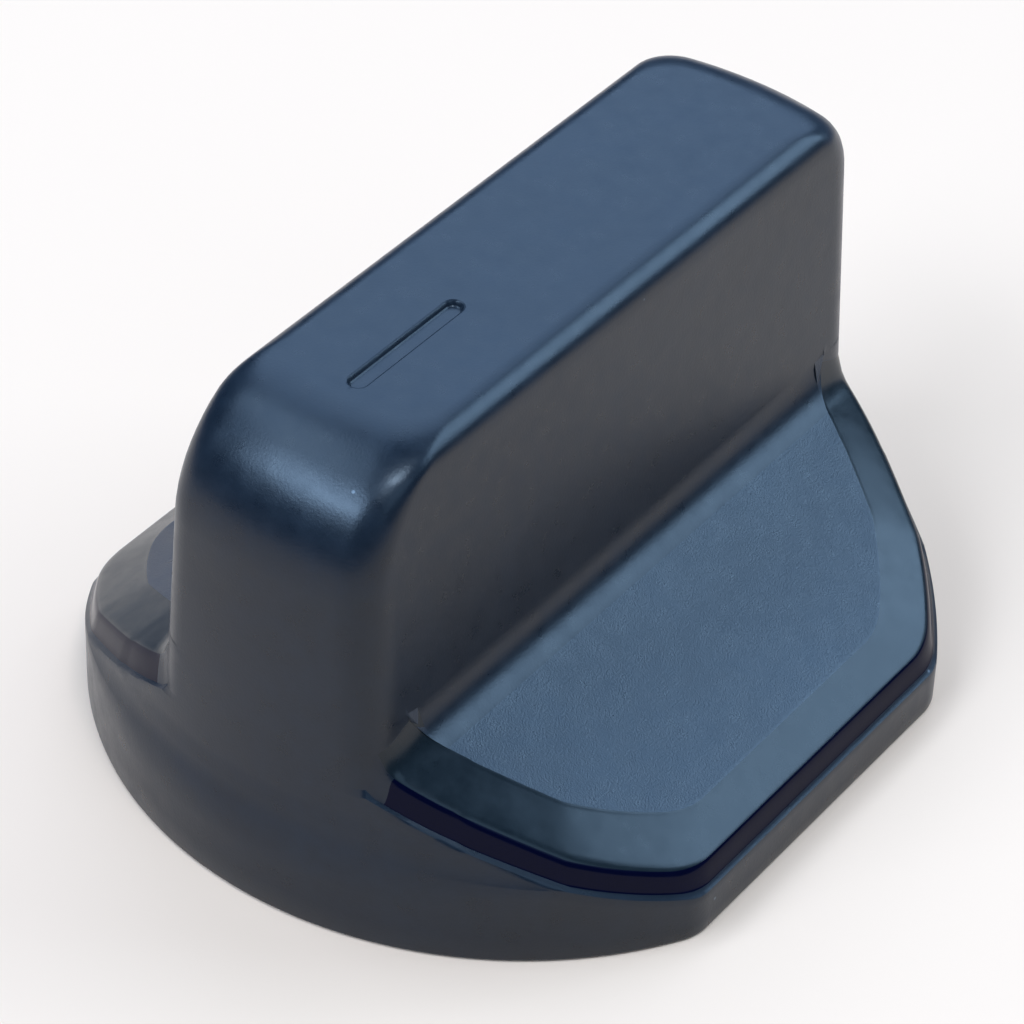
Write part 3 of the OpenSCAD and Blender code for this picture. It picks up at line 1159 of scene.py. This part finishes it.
@dataclass
class Studio:
    """Pale floor, soft lamps and the camera at the photograph's place.

    Attributes:
        azimuth: camera's turn from the marked end towards +X, in radians.
        elevation: camera's height angle, in radians.
        distance: camera's distance from its aim, in millimetres.
        aim: the point that it looks at, in millimetres.
        roll: turn round the view axis, in radians.
        focal_px: focal length in pixels of the photograph.
        centre_px: where the view axis meets the photograph, in pixels.
        floor_drop: gap between the floor and the lower rim, in millimetres.
        floor_fade: distances from the knob between which the floor's colour changes to the painted
            grey shade, in metres.
        background_lift: glow of the floor for the camera, mirrors and glass alone.
    """

    azimuth: float = 0.602
    elevation: float = 0.689
    distance: float = 242.25
    aim: tuple[float, float, float] = (1.121, 0.744, 11.273)
    roll: float = 0.045
    focal_px: float = 4382.0
    centre_px: tuple[float, float] = (541.4, 509.5)
    clip: tuple[float, float] = (0.01, 20.0)
    floor_half: float = 3.0
    floor_drop: float = 0.03
    floor_colour: str = "efc6a8"
    # Grey that the floor turns to far from the knob: painted shade for the light's falloff.
    far_painted_shade: str = "6e7a8a"
    floor_fade: tuple[float, float] = (0.1, 0.5)
    background_lift: float = 0.04
    room_colour: str = "8fb8e8"
    room_level: float = 0.18
    lamp_distance: float = 1.5
    lamps: tuple[Lamp, ...] = (
        Lamp("sky_lamp", (-0.36, 0.62, 0.70), (1.5, 1.1), 3.1, "add2ff"),
        Lamp("back_lamp", (0.50, 0.66, 0.55), (0.9, 0.85), 6.6, "b0d8ff"),
        Lamp("ceiling_lamp", (0.32, -0.20, 0.92), (0.50, 0.45), 17.0, "c6e2ff"),
        Lamp("window_lamp", (-0.48, -0.18, 0.86), (0.9, 0.6), 5.2, "b4d8ff"),
        Lamp("pane_lamp", (-0.24, -0.64, 0.66), (1.05, 0.46), 15.0, "b4d8ff"),
        Lamp("side_lamp", (0.78, -0.20, 0.60), (0.8, 0.55), 1.5, "b0d8ff"),
    )

    def camera(self) -> None:
        """Makes the camera."""
        flat = math.cos(self.elevation)
        back = Vector((flat * math.sin(self.azimuth), -flat * math.cos(self.azimuth),
                       math.sin(self.elevation)))
        right = Vector((0, 0, 1)).cross(back).normalized()
        up = back.cross(right)
        c, s = math.cos(self.roll), math.sin(self.roll)
        x_axis, y_axis = right * c + up * s, up * c - right * s
        turn = Matrix((x_axis, y_axis, back)).transposed()
        data = bpy.data.cameras.new("camera")
        data.sensor_width = SENSOR_MM
        data.lens = self.focal_px / PHOTO_PX * SENSOR_MM
        data.shift_x = (PHOTO_PX / 2 - self.centre_px[0]) / PHOTO_PX
        data.shift_y = (self.centre_px[1] - PHOTO_PX / 2) / PHOTO_PX
        data.clip_start, data.clip_end = self.clip
        obj = bpy.data.objects.new("camera", data)
        place = (Vector(self.aim) + back * self.distance) * MM
        obj.matrix_world = Matrix.Translation(place) @ turn.to_4x4()
        bpy.context.scene.collection.objects.link(obj)
        bpy.context.scene.camera = obj

    def hang(self, lamp: Lamp) -> None:
        """Adds one soft rectangular lamp that faces the knob."""
        data = bpy.data.lights.new(lamp.name, "AREA")
        data.shape = "RECTANGLE"
        data.size, data.size_y = lamp.size
        data.energy = lamp.radiance * math.pi * lamp.size[0] * lamp.size[1]
        data.color = srgb(lamp.colour)[:3]
        obj = bpy.data.objects.new(lamp.name, data)
        toward = Vector(lamp.toward).normalized()
        obj.location = toward * self.lamp_distance
        obj.rotation_euler = (-toward).to_track_quat("-Z", "Y").to_euler()
        bpy.context.scene.collection.objects.link(obj)

    def floor(self) -> None:
        """Lays the floor."""
        bm = bmesh.new()
        bmesh.ops.create_grid(bm, x_segments=1, y_segments=1, size=self.floor_half)
        obj = new_object("floor", bm)
        obj.location.z = -self.floor_drop * MM
        obj.data.materials.append(self._floor_material())
        obj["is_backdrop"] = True

    def _floor_material(self) -> bpy.types.Material:
        """White round the knob and painted grey shade far from it, lifted for camera, mirrors and
        glass.
        """
        mat, tree = new_material("white_floor")
        place = add_node(tree, "ShaderNodeTexCoord").outputs["Object"]
        away = add_node(tree, "ShaderNodeVectorMath", {"operation": "LENGTH"}, {0: place})
        # The floor is painted from white round the knob to grey far away, a painted falloff of the
        # light.
        fade = add_range(tree, away.outputs["Value"], self.floor_fade, (0.0, 1.0), "SMOOTHSTEP")
        colour = mix_colours(tree, fade, srgb(self.floor_colour), srgb(self.far_painted_shade))
        matt = add_node(tree, "ShaderNodeBsdfDiffuse", None, {"Color": colour})
        path = add_node(tree, "ShaderNodeLightPath")
        seen = path.outputs["Is Camera Ray"]
        for kind in ("Is Glossy Ray", "Is Transmission Ray"):
            seen = add_math(tree, "MAXIMUM", seen, path.outputs[kind])
        lift = add_math(tree, "MULTIPLY", seen, self.background_lift)
        glow = add_node(tree, "ShaderNodeEmission", None, {"Strength": lift})
        both = add_node(tree, "ShaderNodeAddShader", None,
                        {0: matt.outputs[0], 1: glow.outputs[0]})
        add_node(tree, "ShaderNodeOutputMaterial", None, {"Surface": both.outputs[0]})
        return mat

    def world(self) -> None:
        """Sets the dim light of the room all round."""
        world = bpy.data.worlds.new("studio")
        bpy.context.scene.world = world
        world.use_nodes = True
        tree = world.node_tree
        tree.nodes.clear()
        soft = add_node(tree, "ShaderNodeBackground", None,
                        {"Color": srgb(self.room_colour), "Strength": self.room_level})
        add_node(tree, "ShaderNodeOutputWorld", None, {"Surface": soft.outputs[0]})

    def build(self) -> None:
        """Sets up the whole studio."""
        self.camera()
        self.floor()
        self.world()
        for lamp in self.lamps:
            self.hang(lamp)
        bpy.context.scene.view_settings.view_transform = "Standard"
        log.info("studio: floor, world, %d lamps and camera", len(self.lamps))


def as_lists(bounds: object) -> object:
    """Turns the frame's bounds into plain lists of numbers."""
    if isinstance(bounds, dict):
        return {key: as_lists(value) for key, value in bounds.items()}
    if isinstance(bounds, (int, float, str)):
        return bounds
    return [as_lists(value) for value in bounds]


def main() -> None:
    """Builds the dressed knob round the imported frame."""
    logging.basicConfig(level=logging.INFO, format="%(name)s: %(message)s")
    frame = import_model()
    cad_box = as_lists(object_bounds())
    Studio().build()
    body = KnobMoulding(KnobForm()).build()
    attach(body, "root")
    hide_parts("knob_body")
    SpringRing().dress(frame["nodes"]["spring_ring"])
    {"cad": cad_box, "visual": as_lists(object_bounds())}


if __name__ == "__main__":
    main()
